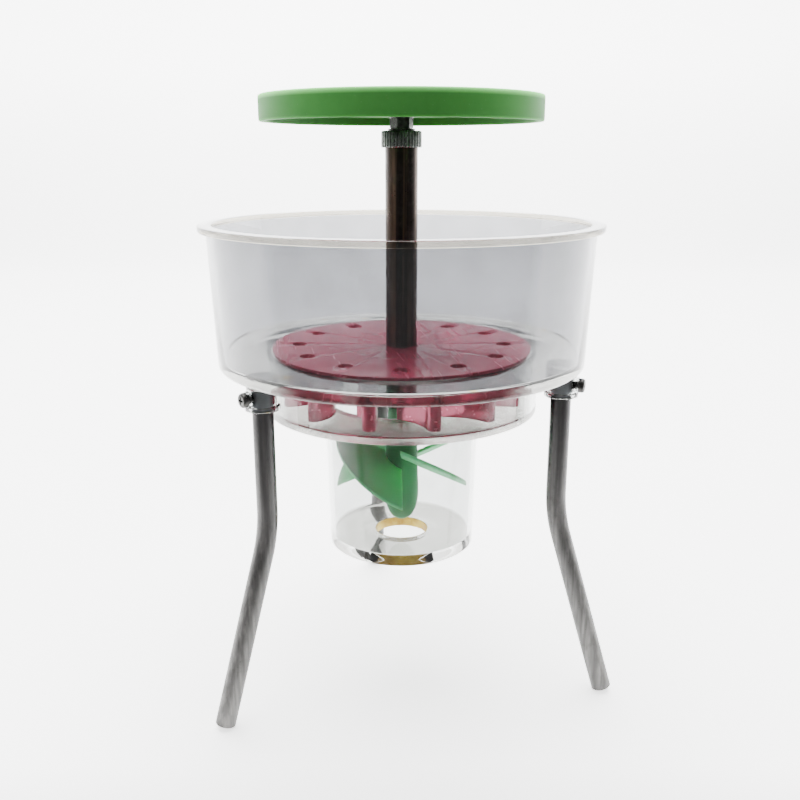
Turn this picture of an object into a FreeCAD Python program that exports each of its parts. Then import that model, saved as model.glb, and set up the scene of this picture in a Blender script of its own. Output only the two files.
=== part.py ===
import FreeCAD, Part

import math
import os

import Sketcher

# Bench model of a propeller water turbine, with its tank, guide vanes, runner and tripod.
# Millimetres, +Z up. The origin is on the turbine axis, in the plane that the three feet stand on.
# The tripod's back leg points to +Y; the other two straddle the front, which is -Y.
# Everything turns or lifts on the Z axis. Sizes are the cells of the sheet called Sizes.

DRIVING = {
    # tank
    "rim_height": 240.0, "rim_thickness": 3.0, "rim_overhang": 3.8,
    "wall_lean": 2.7, "wall_thickness": 3.0,
    "floor_level": 175.0, "floor_thickness": 5.0, "floor_edge_round": 2.5,
    # guide chamber under the tank
    "chamber_radius": 70.0, "chamber_wall": 2.8, "chamber_depth": 26.0, "chamber_plate": 3.2,
    # draft tube under the chamber, with the outlet in its floor
    "draft_top_radius": 40.4, "draft_taper": 1.9, "draft_wall": 2.5, "draft_height": 75.3,
    "draft_plate": 5.0, "outlet_radius": 13.8, "outlet_lining": 0.45,
    # tripod
    "leg_radius": 5.0, "leg_offset": 13.7, "leg_cover": 9.8, "leg_knee_height": 96.0, "leg_splay": 17.0,
    "leg_bend_radius": 80.0, "leg_gap": 2.0, "leg_clearance": 0.05,
    "socket_radius": 8.25, "socket_height": 12.0,
    "pad_radius": 3.9, "pad_reach": 8.6, "screw_drop": 6.0,
    "screw_radius": 2.0, "screw_head_radius": 3.5, "screw_head_height": 2.8,
    "screw_head_round": 1.1, "screw_clearance": 0.05,
    "cross_width": 0.9, "cross_span": 3.8, "cross_depth": 1.3,
    # guide ring: the red disc with its vanes, which drops into the chamber
    "ring_clearance": 0.5, "ring_plate": 2.0, "ring_proud": 1.3, "ring_seat_gap": 0.1,
    "ring_turn": -9.5, "ring_hub_wall": 2.6, "ring_hub_depth": 8.0,
    "inlet_inset": 13.7, "inlet_radius": 4.0, "vane_count": 12,
    "vane_nose_inset": 5.2, "vane_nose_radius": 3.3, "vane_tail_circle": 39.5,
    "vane_tail_lag": 18.0, "vane_tail_half": 0.4, "vane_tail_slope": 54.0,
    # guide tube and its bearings
    "tube_radius": 8.0, "tube_wall": 1.0, "tube_drop": 3.0, "tube_rise": 40.5,
    "fit_gap": 0.05, "bush_length": 13.0, "bush_flange": 1.1, "bush_flange_inset": 0.6,
    "cap_wall": 1.9, "cap_skirt": 5.1, "cap_plate": 2.7, "cap_bore": 4.4,
    "knurl_count": 30, "knurl_depth": 0.45,
    "thrust_radius": 6.6, "thrust_thickness": 1.0,
    # rotor
    "shaft_radius": 3.0, "shaft_running_gap": 0.05, "rotor_end_gap": 0.3, "shaft_seat": 39.5,
    "neck_radius": 7.2, "neck_height": 9.0, "shoulder_height": 4.5,
    "hub_radius": 9.1, "nose_height": 16.0, "nose_drop": 64.8,
    "blade_count": 4, "blade_clearance": 1.0, "blade_span": 92.0, "blade_pitch": 31.0,
    "blade_thickness": 1.6, "blade_drop": 30.6, "blade_turn": 35.5,
    "nut_across_flats": 10.0, "nut_height": 5.0, "top_nut_height": 3.6,
    "washer_radius": 6.0, "washer_thickness": 0.8,
    "pulley_radius": 68.5, "pulley_height": 12.0, "pulley_rim": 3.2, "pulley_web": 3.0,
    "pulley_drop": 2.75, "pulley_boss_radius": 5.8, "pulley_boss": 1.45, "pulley_round": 0.9,
    "shaft_end": 0.3,
}

doc = FreeCAD.newDocument("turbine_model")
sheet = doc.addObject("Spreadsheet::Sheet", "Sizes")
for row, (word, value) in enumerate(DRIVING.items(), start=1):
    sheet.set("A%d" % row, word)
    sheet.set("B%d" % row, str(value))
    sheet.setAlias("B%d" % row, word)
doc.recompute()


class Formula(str):
    """A formula in the sheet's sizes, which can be added to and scaled like a number."""

    def _join(self, sign, other, swap=False):
        left, right = (other, self) if swap else (self, other)
        return Formula("(%s %s %s)" % (left, sign, right))

    def __add__(self, other):
        return self._join("+", other)

    def __radd__(self, other):
        return self._join("+", other, True)

    def __sub__(self, other):
        return self._join("-", other)

    def __rsub__(self, other):
        return self._join("-", other, True)

    def __mul__(self, other):
        return self._join("*", other)

    def __rmul__(self, other):
        return self._join("*", other, True)

    def __truediv__(self, other):
        return self._join("/", other)


def size(word):
    """The formula for one driving size."""
    if word not in DRIVING:
        raise KeyError(word)
    return Formula("Sizes." + word)


def trig(name, angle):
    return Formula("%s(%s)" % (name, angle))


def number(formula):
    """What a formula comes to with the sheet as it is now."""
    return float(doc.getObject("Sizes").evalExpression(str(formula).replace("Sizes.", "")))


# Levels and radii that several pieces share
FLOOR_UNDER = size("floor_level") - size("floor_thickness")
CHAMBER_LEVEL = size("floor_level") - size("chamber_depth")
CHAMBER_UNDER = CHAMBER_LEVEL - size("chamber_plate")
CHAMBER_BORE = size("chamber_radius") - size("chamber_wall")
LEG_CIRCLE = size("chamber_radius") + size("leg_offset")
WALL_FOOT = LEG_CIRCLE + size("leg_cover")
WALL_TOP = WALL_FOOT + size("wall_lean")
RIM_RADIUS = WALL_TOP + size("rim_overhang")
DRAFT_MOUTH = size("draft_top_radius") - size("draft_wall")
DRAFT_UNDER = CHAMBER_UNDER - size("draft_height")
DRAFT_LEVEL = DRAFT_UNDER + size("draft_plate")
DRAFT_FOOT = size("draft_top_radius") - size("draft_taper")
DRAFT_SLOPE = size("draft_taper") / size("draft_height")
BLADE_RADIUS = DRAFT_FOOT - size("draft_wall") - size("blade_clearance")
LINING_RADIUS = size("outlet_radius") + size("outlet_lining")
RING_TOP = size("floor_level") + size("ring_proud")
RING_UNDER = RING_TOP - size("ring_plate")
RING_RADIUS = CHAMBER_BORE - size("ring_clearance")
NOSE_CIRCLE = RING_RADIUS - size("vane_nose_inset")
INLET_CIRCLE = RING_RADIUS - size("inlet_inset")
RING_HUB = size("tube_radius") + size("ring_hub_wall")
TUBE_FOOT = CHAMBER_LEVEL - size("tube_drop")
TUBE_HEAD = size("rim_height") + size("tube_rise")
TUBE_BORE = size("tube_radius") - size("tube_wall")
BUSH_FLANGE = size("tube_radius") - size("bush_flange_inset")
CAP_RADIUS = size("tube_radius") + size("cap_wall")
CAP_FOOT = TUBE_HEAD - size("cap_skirt")
CAP_TOP = TUBE_HEAD + size("cap_plate")
THRUST_TOP = CAP_TOP + size("thrust_thickness")
LOCK_NUT_FOOT = THRUST_TOP + size("fit_gap")
LOWER_WASHER = LOCK_NUT_FOOT + size("nut_height")
BOSS_FOOT = LOWER_WASHER + size("washer_thickness")
WEB_FOOT = BOSS_FOOT + size("pulley_boss")
WEB_TOP = WEB_FOOT + size("pulley_web")
SKIRT_FOOT = BOSS_FOOT - size("pulley_drop")
PULLEY_TOP = SKIRT_FOOT + size("pulley_height")
TOP_NUT_FOOT = WEB_TOP + size("washer_thickness")
SHAFT_TOP = TOP_NUT_FOOT + size("top_nut_height") + size("shaft_end")
NECK_TOP = TUBE_FOOT - size("bush_flange") - size("rotor_end_gap")
NECK_FOOT = NECK_TOP - size("neck_height")
NOSE_TIP = TUBE_FOOT - size("nose_drop")
NOSE_START = NOSE_TIP + size("nose_height")
BLADE_LEVEL = TUBE_FOOT - size("blade_drop")
SHAFT_FOOT = NECK_TOP - size("shaft_seat")
RUNNING_BORE = size("shaft_radius") + size("shaft_running_gap")
SOCKET_FOOT = FLOOR_UNDER - size("socket_height")
SCREW_LEVEL = FLOOR_UNDER - size("screw_drop")
LEG_AZIMUTHS = {"right": -30.0, "back": 90.0, "left": -150.0}


def origin_plane(body, role):
    return next(f for f in body.Origin.OriginFeatures if f.Role == role)


def make_body(name):
    body = doc.addObject("PartDesign::Body", name)
    body.Label = name
    return body


def make_sketch(body, name, role, offset=None):
    """A sketch on one of the body's own origin planes, raised by a formula if one is given."""
    sketch = body.newObject("Sketcher::SketchObject", name)
    sketch.AttachmentSupport = [(origin_plane(body, role), "")]
    sketch.MapMode = "FlatFace"
    if offset is not None:
        sketch.setExpression(".AttachmentOffset.Base.z", offset)
    return sketch


def pin_point(sketch, geo, pos, x, y):
    """Ties one point of a sketch to formulas for its two coordinates."""
    for kind, formula in (("DistanceX", x), ("DistanceY", y)):
        value = number(formula)
        index = sketch.addConstraint(Sketcher.Constraint(kind, -1, 1, geo, pos, value))
        if isinstance(formula, Formula):
            sketch.setExpression("Constraints[%d]" % index, formula)


def outline(sketch, corners):
    """A closed outline. A corner is (x, y), or (x, y, radius, side) where the edge that leaves it is
    an arc of that radius bulging to its left (side 1) or its right (side -1). A fifth value marks
    a half circle, which is held by its centre."""
    places = [FreeCAD.Vector(number(c[0]), number(c[1]), 0) for c in corners]
    count = len(corners)
    for i, corner in enumerate(corners):
        start, end = places[i], places[(i + 1) % count]
        if len(corner) == 2:
            sketch.addGeometry(Part.LineSegment(start, end), False)
            continue
        radius, side = number(corner[2]), corner[3]
        chord = end - start
        rise = radius - math.sqrt(max(radius ** 2 - (chord.Length / 2) ** 2, 0.0))
        normal = FreeCAD.Vector(-chord.y, chord.x, 0).normalize()
        middle = (start + end) * 0.5 + normal * (rise * side)
        first, last = (end, start) if side > 0 else (start, end)
        sketch.addGeometry(Part.Arc(first, middle, last), False)
    # an arc's ends are counted counter-clockwise, so one that bulges left is held end first
    ends = [(2, 1) if len(c) > 2 and c[3] > 0 else (1, 2) for c in corners]
    for i in range(count):
        after = (i + 1) % count
        sketch.addConstraint(Sketcher.Constraint("Coincident", i, ends[i][1], after, ends[after][0]))
    for i, corner in enumerate(corners):
        pin_point(sketch, i, ends[i][0], corner[0], corner[1])
        if len(corner) == 4:
            index = sketch.addConstraint(Sketcher.Constraint("Radius", i, number(corner[2])))
            sketch.setExpression("Constraints[%d]" % index, corner[2])
        if len(corner) == 5:
            index = sketch.addConstraint(Sketcher.Constraint("DistanceX", -1, 1, i, 3, number(corner[0])))
            sketch.setExpression("Constraints[%d]" % index, corner[0])


def turned(name, corners):
    """A piece turned on the Z axis from an outline of (radius, height) corners."""
    body = make_body(name)
    sketch = make_sketch(body, name + "_outline", "XZ_Plane")
    outline(sketch, corners)
    spin = body.newObject("PartDesign::Revolution", name + "_turned")
    spin.Profile = sketch
    spin.ReferenceAxis = (sketch, ["V_Axis"])
    spin.Angle = 360.0
    doc.recompute()
    return body


def ring(name, inner, outer, foot, top):
    """A plain turned ring."""
    return turned(name, [(inner, foot), (outer, foot), (outer, top), (inner, top)])


def rounded(body, radius, wanted):
    """Rounds the body's edges for which wanted(edge) is true."""
    plain = body.Tip
    names = ["Edge%d" % (i + 1) for i, edge in enumerate(plain.Shape.Edges) if wanted(edge)]
    if not names:
        raise RuntimeError("no edge to round on " + body.Label)
    fillet = body.newObject("PartDesign::Fillet", body.Name + "_round")
    fillet.Base = (plain, names)
    fillet.setExpression("Radius", radius)
    body.Tip = fillet
    doc.recompute()


def circle_at(radius, level, slack=0.01):
    """A test for a circular edge of that radius at that height."""
    def wanted(edge):
        curve = edge.Curve
        return (curve.TypeId == "Part::GeomCircle" and abs(curve.Radius - number(radius)) < slack
                and abs(curve.Center.z - number(level)) < slack)
    return wanted


def cut_round(body, name, role, level, cutters, count, depth=None):
    """Pockets the outlines that cutters(sketch) draws and repeats the pocket around Z."""
    sketch = make_sketch(body, name + "_outline", role, level)
    cutters(sketch)
    pocket = body.newObject("PartDesign::Pocket", name)
    pocket.Profile = sketch
    pocket.Type = 1 if depth is None else 0
    pocket.Midplane = depth is None
    if depth is not None:
        pocket.setExpression("Length", depth)
    doc.recompute()
    pattern = body.newObject("PartDesign::PolarPattern", name + "_pattern")
    pattern.Originals = [pocket]
    pattern.Axis = (sketch, ["N_Axis"])
    pattern.Angle = 360.0
    pattern.setExpression("Occurrences", count)
    body.Tip = pattern
    doc.recompute()


def turn_piece(piece, angle):
    """Turns a finished piece about the Z axis."""
    value = number(angle)
    piece.Placement = FreeCAD.Placement(FreeCAD.Vector(), FreeCAD.Rotation(FreeCAD.Vector(0, 0, 1), value))
    if isinstance(angle, Formula):
        piece.setExpression("Placement.Rotation.Angle", angle)


def primitive(kind, name, **cells):
    """A simple solid whose sizes are formulas."""
    solid = doc.addObject("Part::" + kind, name)
    for key, formula in cells.items():
        if isinstance(formula, Formula):
            solid.setExpression(key, formula)
        else:
            setattr(solid, key, formula)
    return solid


def place(solid, turn=None, **where):
    """Moves a simple solid by formulas for x, y and z after an optional turn of (axis, degrees)."""
    if turn:
        solid.Placement = FreeCAD.Placement(FreeCAD.Vector(), FreeCAD.Rotation(*turn))
    for key, formula in where.items():
        if isinstance(formula, Formula):
            solid.setExpression("Placement.Base." + key, formula)
        else:
            setattr(solid.Placement.Base, key, formula)
    return solid


def boolean(kind, name, first, *rest):
    """Cut, Fuse or Common of pieces, taken one after another."""
    result = first
    for i, tool in enumerate(rest):
        last = i == len(rest) - 1
        step = doc.addObject("Part::" + kind, name if last else "%s_step%d" % (name, i + 1))
        step.Base, step.Tool = result, tool
        result = step
    result.Label = name
    return result


def make_tank():
    inner_foot = WALL_FOOT - size("wall_thickness")
    inner_top = WALL_TOP - size("wall_thickness")
    wall = turned("tank_wall", [
        (inner_foot, size("floor_level")), (WALL_FOOT, size("floor_level")),
        (WALL_TOP, size("rim_height")), (inner_top, size("rim_height"))])
    lean = (WALL_TOP - WALL_FOOT) / (size("rim_height") - size("floor_level"))
    rim_under = size("rim_height") - size("rim_thickness")
    collar = turned("rim_ring", [
        (WALL_TOP - lean * size("rim_thickness"), rim_under),
        (RIM_RADIUS, rim_under), (RIM_RADIUS, size("rim_height")),
        (WALL_TOP, size("rim_height"))])
    floor = ring("tank_floor", CHAMBER_BORE, WALL_FOOT, FLOOR_UNDER, size("floor_level"))
    rounded(floor, size("floor_edge_round"), circle_at(WALL_FOOT, FLOOR_UNDER))
    return [wall, collar, floor]


def make_chamber():
    wall = ring("chamber_wall", CHAMBER_BORE, size("chamber_radius"), CHAMBER_LEVEL, FLOOR_UNDER)
    floor = ring("chamber_floor", DRAFT_MOUTH, size("chamber_radius"), CHAMBER_UNDER, CHAMBER_LEVEL)
    return [wall, floor]


def make_draft_tube():
    level_radius = DRAFT_FOOT + DRAFT_SLOPE * size("draft_plate")
    wall = turned("draft_tube_wall", [
        (level_radius - size("draft_wall"), DRAFT_LEVEL), (level_radius, DRAFT_LEVEL),
        (size("draft_top_radius"), CHAMBER_UNDER), (DRAFT_MOUTH, CHAMBER_UNDER)])
    floor = turned("draft_tube_floor", [
        (LINING_RADIUS, DRAFT_UNDER), (DRAFT_FOOT, DRAFT_UNDER),
        (level_radius, DRAFT_LEVEL), (LINING_RADIUS, DRAFT_LEVEL)])
    lining = ring("outlet_lining", size("outlet_radius"), LINING_RADIUS, DRAFT_UNDER, DRAFT_LEVEL)
    return [wall, floor, lining]


def make_leg(side, azimuth):
    """A bent rod: straight down from its socket, then splayed out to the foot, cut square."""
    body = make_body("leg_" + side)
    splay, knee = size("leg_splay"), size("leg_knee_height")
    reach = size("leg_bend_radius") * trig("tan", splay / 2)
    stride = (knee - size("leg_radius") * trig("sin", splay)) / trig("cos", splay)
    top = FLOOR_UNDER - size("leg_gap")
    spine = make_sketch(body, "leg_%s_line" % side, "XZ_Plane")
    stops = [
        (LEG_CIRCLE, top), (LEG_CIRCLE, knee + reach),
        (LEG_CIRCLE + reach * trig("sin", splay), knee - reach * trig("cos", splay)),
        (LEG_CIRCLE + stride * trig("sin", splay), knee - stride * trig("cos", splay))]
    spots = [FreeCAD.Vector(number(x), number(z), 0) for x, z in stops]
    bend = number(size("leg_bend_radius"))
    half = math.radians(number(splay)) / 2
    middle = FreeCAD.Vector(spots[1].x + bend * (1 - math.cos(half)), spots[1].y - bend * math.sin(half), 0)
    spine.addGeometry(Part.LineSegment(spots[0], spots[1]), False)
    spine.addGeometry(Part.Arc(spots[1], middle, spots[2]), False)
    spine.addGeometry(Part.LineSegment(spots[2], spots[3]), False)
    spine.addConstraint(Sketcher.Constraint("Coincident", 0, 2, 1, 1))
    spine.addConstraint(Sketcher.Constraint("Coincident", 1, 2, 2, 1))
    for geo, pos, stop in ((0, 1, stops[0]), (0, 2, stops[1]), (2, 1, stops[2]), (2, 2, stops[3])):
        pin_point(spine, geo, pos, *stop)
    index = spine.addConstraint(Sketcher.Constraint("Radius", 1, bend))
    spine.setExpression("Constraints[%d]" % index, size("leg_bend_radius"))
    section = make_sketch(body, "leg_%s_section" % side, "XY_Plane", top)
    section.addGeometry(Part.Circle(FreeCAD.Vector(number(LEG_CIRCLE), 0, 0),
                                    FreeCAD.Vector(0, 0, 1), number(size("leg_radius"))), False)
    section.addConstraint(Sketcher.Constraint("PointOnObject", 0, 3, -1))
    index = section.addConstraint(
        Sketcher.Constraint("DistanceX", -1, 1, 0, 3, number(LEG_CIRCLE)))
    section.setExpression("Constraints[%d]" % index, LEG_CIRCLE)
    index = section.addConstraint(Sketcher.Constraint("Radius", 0, number(size("leg_radius"))))
    section.setExpression("Constraints[%d]" % index, size("leg_radius"))
    doc.recompute()
    rod = body.newObject("PartDesign::AdditivePipe", "leg_%s_rod" % side)
    rod.Profile = section
    rod.Spine = spine
    doc.recompute()
    turn_piece(body, azimuth)
    return body


def make_socket(side, azimuth):
    """A clear boss under the tank floor: a cup for the leg, and a pad that its screw runs through."""
    stem = "leg_socket_" + side
    pad_length = size("pad_reach")
    boss = place(primitive("Cylinder", stem + "_boss", Radius=size("socket_radius"),
                           Height=size("socket_height")), x=LEG_CIRCLE, z=SOCKET_FOOT)
    pad = place(primitive("Cylinder", stem + "_pad", Radius=size("pad_radius"), Height=pad_length),
                turn=(FreeCAD.Vector(0, 1, 0), 90), x=LEG_CIRCLE, z=SCREW_LEVEL)
    bore = place(primitive("Cylinder", stem + "_bore", Radius=size("leg_radius") + size("leg_clearance"),
                           Height=size("socket_height") - size("leg_gap") + size("leg_clearance")),
                 x=LEG_CIRCLE, z=SOCKET_FOOT)
    hole = place(primitive("Cylinder", stem + "_hole",
                           Radius=size("screw_radius") + size("screw_clearance"), Height=pad_length),
                 turn=(FreeCAD.Vector(0, 1, 0), 90), x=LEG_CIRCLE, z=SCREW_LEVEL)
    solid = boolean("Fuse", stem + "_solid", boss, pad)
    socket = boolean("Cut", stem, solid, bore, hole)
    turn_piece(socket, azimuth)
    return socket


def make_screw(side, azimuth):
    """A pan-head screw with a cross recess, turned upright and then laid with its head outwards."""
    seat = LEG_CIRCLE + size("pad_reach")
    tip = LEG_CIRCLE + size("leg_radius") + size("leg_clearance")
    crown = seat + size("screw_head_height")
    head = size("screw_head_radius")
    body = turned("leg_screw_" + side, [
        (0.0, tip), (size("screw_radius"), tip), (size("screw_radius"), seat), (head, seat),
        (head, crown - size("screw_head_round")),
        (head - size("screw_head_round"), crown), (0.0, crown)])
    cross = make_sketch(body, "leg_screw_%s_cross" % side, "XY_Plane", crown)
    arm, span = size("cross_width") / 2, size("cross_span") / 2
    outline(cross, [
        (-1 * arm, -1 * span), (arm, -1 * span), (arm, -1 * arm), (span, -1 * arm),
        (span, arm), (arm, arm), (arm, span), (-1 * arm, span), (-1 * arm, arm),
        (-1 * span, arm), (-1 * span, -1 * arm), (-1 * arm, -1 * arm)])
    before = body.Tip.Shape.Volume
    recess = body.newObject("PartDesign::Pocket", "leg_screw_%s_recess" % side)
    recess.Profile = cross
    recess.setExpression("Length", size("cross_depth"))
    doc.recompute()
    if recess.Shape.Volume > before - 0.5:
        recess.Reversed = True
        doc.recompute()
    lie = FreeCAD.Rotation(FreeCAD.Vector(0, 0, 1), azimuth) * FreeCAD.Rotation(FreeCAD.Vector(0, 1, 0), 90)
    body.Placement = FreeCAD.Placement(FreeCAD.Vector(), lie)
    body.setExpression("Placement.Base.z", SCREW_LEVEL)
    return body


def make_tripod():
    pieces = []
    for side, azimuth in LEG_AZIMUTHS.items():
        pieces += [make_leg(side, azimuth), make_socket(side, azimuth)]
    screws = doc.addObject("Part::Compound", "leg_screws")
    screws.Links = [make_screw(side, azimuth) for side, azimuth in LEG_AZIMUTHS.items()]
    return pieces + [screws]


def make_guide_disc():
    body = turned("guide_disc", [
        (size("tube_radius") + size("fit_gap"), RING_UNDER - size("ring_hub_depth")),
        (RING_HUB, RING_UNDER - size("ring_hub_depth")),
        (RING_HUB, RING_UNDER), (RING_RADIUS, RING_UNDER), (RING_RADIUS, RING_TOP),
        (size("tube_radius") + size("fit_gap"), RING_TOP)])
    rounded(body, Formula("(%s / 5)" % size("ring_plate")), circle_at(RING_RADIUS, RING_TOP))

    def hole(sketch):
        sketch.addGeometry(Part.Circle(FreeCAD.Vector(0, -number(INLET_CIRCLE), 0),
                                       FreeCAD.Vector(0, 0, 1), number(size("inlet_radius"))), False)
        sketch.addConstraint(Sketcher.Constraint("PointOnObject", 0, 3, -2))
        index = sketch.addConstraint(
            Sketcher.Constraint("DistanceY", 0, 3, -1, 1, number(INLET_CIRCLE)))
        sketch.setExpression("Constraints[%d]" % index, INLET_CIRCLE)
        index = sketch.addConstraint(Sketcher.Constraint("Radius", 0, number(size("inlet_radius"))))
        sketch.setExpression("Constraints[%d]" % index, size("inlet_radius"))

    cut_round(body, "guide_disc_inlets", "XY_Plane", RING_TOP, hole, size("vane_count"))
    turn_piece(body, size("ring_turn"))
    return body


def make_vane(number_of, turn):
    """A hooked aerofoil: a round nose at the disc's edge, and a thin tail that trails into the swirl."""
    body = make_body("guide_vane_%02d" % number_of)
    sketch = make_sketch(body, "vane_%02d_outline" % number_of, "XY_Plane",
                         CHAMBER_LEVEL + size("ring_seat_gap"))
    nose, thick = NOSE_CIRCLE - size("vane_nose_radius"), size("vane_nose_radius")
    lag, slope, half = size("vane_tail_lag"), size("vane_tail_slope"), size("vane_tail_half")
    tail_x = size("vane_tail_circle") * trig("cos", lag)
    tail_y = -1 * size("vane_tail_circle") * trig("sin", lag)
    back = (tail_x - half * trig("sin", slope), tail_y + half * trig("cos", slope))
    belly = (tail_x + half * trig("sin", slope), tail_y - half * trig("cos", slope))

    def side_radius(edge, end):
        """Radius of the arc that leaves the nose along -X and reaches the tail's corner."""
        run, fall = nose - end[0], edge - end[1]
        return Formula("((%s ^ 2 + %s ^ 2) / (2 * abs(%s)))" % (run, fall, fall))

    outline(sketch, [
        (nose, -1 * thick, thick, -1, "half"),
        (nose, thick, side_radius(thick, back), -1),
        back,
        (belly[0], belly[1], side_radius(-1 * thick, belly), 1)])
    pad = body.newObject("PartDesign::Pad", "vane_%02d_pad" % number_of)
    pad.Profile = sketch
    pad.setExpression("Length", RING_UNDER - CHAMBER_LEVEL - size("ring_seat_gap"))
    doc.recompute()
    turn_piece(body, turn)
    return body


def make_guide_ring():
    pieces = [make_guide_disc()]
    count = int(number(size("vane_count")))
    for i in range(count):
        # the vanes stand midway between the inlet holes; a vane is drawn along +X, the first hole along -Y
        turn = size("ring_turn") + (i + 0.5) * Formula("(360 / %s)" % size("vane_count")) - 90
        pieces.append(make_vane(i + 1, turn))
    return pieces


def make_guide_tube():
    tube = ring("guide_tube", TUBE_BORE, size("tube_radius"), TUBE_FOOT, TUBE_HEAD)
    bush = TUBE_BORE - size("fit_gap")
    lower = turned("lower_bearing", [
        (RUNNING_BORE, TUBE_FOOT - size("bush_flange")),
        (BUSH_FLANGE, TUBE_FOOT - size("bush_flange")),
        (BUSH_FLANGE, TUBE_FOOT), (bush, TUBE_FOOT),
        (bush, TUBE_FOOT + size("bush_length")),
        (RUNNING_BORE, TUBE_FOOT + size("bush_length"))])
    upper = ring("upper_bearing", RUNNING_BORE, bush, TUBE_HEAD - size("bush_length"),
                 TUBE_HEAD)
    cap = turned("bearing_cap", [
        (size("tube_radius") + size("fit_gap"), CAP_FOOT), (CAP_RADIUS, CAP_FOOT),
        (CAP_RADIUS, CAP_TOP), (size("cap_bore"), CAP_TOP),
        (size("cap_bore"), TUBE_HEAD + size("fit_gap")),
        (size("tube_radius") + size("fit_gap"), TUBE_HEAD + size("fit_gap"))])

    def notch(sketch):
        deep = CAP_RADIUS - size("knurl_depth")
        out = CAP_RADIUS + size("knurl_depth") / 2
        half = Formula("(%s * 1.2)" % size("knurl_depth"))
        outline(sketch, [(deep, 0.0), (out, -1 * half), (out, half)])

    cut_round(cap, "bearing_cap_knurl", "XY_Plane", CAP_TOP, notch, size("knurl_count"))
    thrust = ring("thrust_washer", RUNNING_BORE, size("thrust_radius"), CAP_TOP, THRUST_TOP)
    return [tube, lower, upper, cap, thrust]


def make_nut(name, foot, height):
    """A hexagon nut with its corners turned off, bored to the shaft."""
    across = Formula("(%s / (2 * cos(30)))" % size("nut_across_flats"))
    prism = place(primitive("Prism", name + "_hexagon", Polygon=6, Circumradius=across, Height=height), z=foot)
    chamfer = size("nut_across_flats") / 10
    cone = primitive("Cone", name + "_crown", Radius1=across + height * 0.6, Radius2=across - chamfer / 2,
                     Height=height)
    place(cone, z=foot)
    bore = place(primitive("Cylinder", name + "_bore", Radius=size("shaft_radius"), Height=height), z=foot)
    crowned = boolean("Common", name + "_crowned", prism, cone)
    return boolean("Cut", name, crowned, bore)


def make_pulley():
    outer, inner = size("pulley_radius"), size("pulley_radius") - size("pulley_rim")
    body = turned("pulley", [
        (size("shaft_radius"), BOSS_FOOT), (size("pulley_boss_radius"), BOSS_FOOT),
        (size("pulley_boss_radius"), WEB_FOOT), (inner, WEB_FOOT), (inner, SKIRT_FOOT),
        (outer, SKIRT_FOOT), (outer, PULLEY_TOP), (inner, PULLEY_TOP), (inner, WEB_TOP),
        (size("shaft_radius"), WEB_TOP)])

    def rim_edge(edge):
        return any(circle_at(r, z)(edge) for r in (outer, inner) for z in (SKIRT_FOOT, PULLEY_TOP))

    rounded(body, size("pulley_round"), rim_edge)
    return body


def make_runner():
    """The hub, bored for the shaft, and its flat blades, each a tilted slice of a sector."""
    hub = turned("runner_hub", [
        (0.0, NOSE_TIP),
        (size("hub_radius") * 0.62, NOSE_TIP + size("nose_height") * 0.28),
        (size("hub_radius"), NOSE_START),
        (size("hub_radius"), NECK_FOOT - size("shoulder_height")),
        (size("neck_radius"), NECK_FOOT), (size("neck_radius"), NECK_TOP),
        (size("shaft_radius"), NECK_TOP), (size("shaft_radius"), SHAFT_FOOT), (0.0, SHAFT_FOOT)])
    pieces = [hub]
    for i in range(int(number(size("blade_count")))):
        name = "runner_blade_%d" % (i + 1)
        reach = BLADE_RADIUS * 2
        sector = primitive("Cylinder", name + "_sector", Radius=BLADE_RADIUS, Height=reach,
                           Angle=size("blade_span"))
        sector.Placement.Rotation = FreeCAD.Rotation(FreeCAD.Vector(0, 0, 1), -number(size("blade_span")) / 2)
        sector.setExpression("Placement.Rotation.Angle", size("blade_span") / 2)
        sector.Placement.Rotation.Axis = FreeCAD.Vector(0, 0, -1)
        place(sector, z=BLADE_LEVEL - reach / 2)
        slab = primitive("Box", name + "_slab", Length=BLADE_RADIUS * 1.2, Width=reach,
                         Height=size("blade_thickness"))
        slab.Placement = FreeCAD.Placement(FreeCAD.Vector(), FreeCAD.Rotation(FreeCAD.Vector(-1, 0, 0), 1))
        slab.setExpression("Placement.Rotation.Angle", size("blade_pitch"))
        lean, rise = size("blade_pitch"), size("blade_thickness") / 2
        place(slab, y=-1 * BLADE_RADIUS * trig("cos", lean) - rise * trig("sin", lean),
              z=BLADE_LEVEL + BLADE_RADIUS * trig("sin", lean) - rise * trig("cos", lean))
        core = place(primitive("Cylinder", name + "_core", Radius=size("hub_radius"), Height=reach),
                     z=BLADE_LEVEL - reach / 2)
        flat = boolean("Common", name + "_flat", sector, slab)
        blade = boolean("Cut", name, flat, core)
        turn_piece(blade, size("blade_turn") + i * Formula("(360 / %s)" % size("blade_count")) - 90)
        pieces.append(blade)
    return pieces


def make_rotor():
    shaft = turned("shaft", [
        (0.0, SHAFT_FOOT), (size("shaft_radius"), SHAFT_FOOT), (size("shaft_radius"), SHAFT_TOP),
        (0.0, SHAFT_TOP)])
    pieces = [shaft, make_pulley()]
    for name, foot in (("lower_washer", LOWER_WASHER), ("upper_washer", WEB_TOP)):
        pieces.append(ring(name, size("shaft_radius"), size("washer_radius"), foot,
                           foot + size("washer_thickness")))
    pieces.append(make_nut("lock_nut", LOCK_NUT_FOOT, size("nut_height")))
    pieces.append(make_nut("top_nut", TOP_NUT_FOOT, size("top_nut_height")))
    return pieces + make_runner()


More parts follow.
